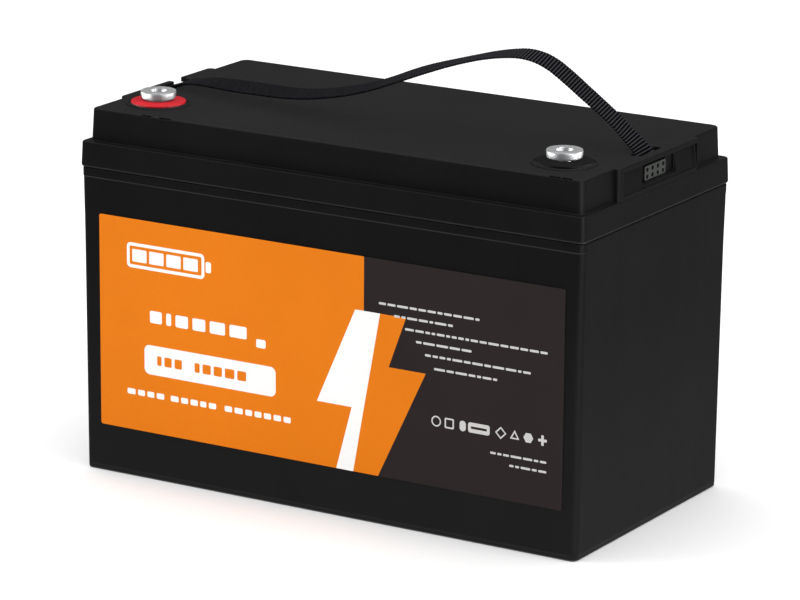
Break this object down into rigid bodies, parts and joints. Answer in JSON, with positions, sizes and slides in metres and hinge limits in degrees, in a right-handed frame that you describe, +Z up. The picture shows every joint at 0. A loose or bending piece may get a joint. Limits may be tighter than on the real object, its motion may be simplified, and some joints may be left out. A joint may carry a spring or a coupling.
{
  "type": "deep cycle battery",
  "caption": "Rectangular 12 V deep cycle battery case with a flanged lid, two threaded annular terminals with coloured collars, a front sticker and a webbing carrying strap.",
  "frame": {"origin": "centre of the underside of the container", "axes": "+Z up, +X towards the negative-terminal end, -Y is the labelled front face"},
  "size_m": [0.33, 0.172, 0.2653],
  "materials": {
    "case_plastic": "satin moulded ABS",
    "label_film": "printed satin film",
    "terminal_metal": "tin plated, turned",
    "collar_red": "satin",
    "collar_black": "satin",
    "webbing": "woven polypropylene",
    "anchor_plastic": "satin nylon",
    "seal_rubber": "matt",
    "adhesive": "matt",
    "zinc_steel": "zinc plated",
    "cell_can": "film wrapped",
    "sheet_epoxy": "matt",
    "plate_aluminium": "mill finish",
    "band_steel": "plain",
    "foam": "closed-cell foam",
    "copper": "plain copper",
    "board_green": "solder resist",
    "carrier": "glass laminate",
    "transistor": "moulded",
    "connector_white": "natural nylon",
    "standoff_nylon": "natural nylon",
    "cable_red": "silicone sleeve",
    "cable_black": "silicone sleeve"
  },
  "bodies": {
    "case": {"container": "case_plastic", "lid": "case_plastic", "lid_seal": "adhesive", "front_label": "label_film", "terminal_post_positive": "terminal_metal", "terminal_collar_positive": "collar_red", "terminal_oring_positive": "seal_rubber", "terminal_nut_positive": "zinc_steel", "terminal_post_negative": "terminal_metal", "terminal_collar_negative": "collar_black", "terminal_oring_negative": "seal_rubber", "terminal_nut_negative": "zinc_steel", "cell_1": "cell_can", "cell_nut_1_front": "zinc_steel", "cell_nut_1_rear": "zinc_steel", "board_standoff_1": "standoff_nylon", "cell_2": "cell_can", "cell_nut_2_front": "zinc_steel", "cell_nut_2_rear": "zinc_steel", "board_standoff_2": "standoff_nylon", "cell_3": "cell_can", "cell_nut_3_front": "zinc_steel", "cell_nut_3_rear": "zinc_steel", "board_standoff_3": "standoff_nylon", "cell_4": "cell_can", "cell_nut_4_front": "zinc_steel", "cell_nut_4_rear": "zinc_steel", "board_standoff_4": "standoff_nylon", "cell_sheet_1": "sheet_epoxy", "busbar_1": "copper", "cell_sheet_2": "sheet_epoxy", "busbar_2": "copper", "cell_sheet_3": "sheet_epoxy", "busbar_3": "copper", "end_plate_left": "plate_aluminium", "end_plate_right": "plate_aluminium", "pack_band_lower": "band_steel", "pack_band_upper": "band_steel", "base_pad": "foam", "foam_block_left": "foam", "foam_block_right": "foam", "carrier_board": "carrier", "bms_heatsink": "plate_aluminium", "bms_board": "board_green", "bms_transistors": "transistor", "bms_connector": "connector_white", "temperature_probe": "transistor", "lead_positive": "cable_red", "lead_cell_negative": "cable_black", "lead_board_negative": "cable_black"},
    "strap_ends": {"strap_anchor_left": "anchor_plastic", "strap_anchor_right": "anchor_plastic", "strap_tail_left": "webbing", "strap_tail_right": "webbing"},
    "strap_loop": {"strap_loop": "webbing"}
  },
  "joints": [
    {"name": "strap_pull", "type": "slide", "parent": "case", "child": "strap_ends", "axis": [0, 0, 1], "range_m": [0, 0.0018]},
    {"name": "strap_swing", "type": "hinge", "parent": "strap_ends", "child": "strap_loop", "pos_m": [0, -0.0015, 0.215], "axis": [1, 0, 0], "range_deg": [-45, 10], "stiffness_Nm_per_rad": 0.3}
  ]
}
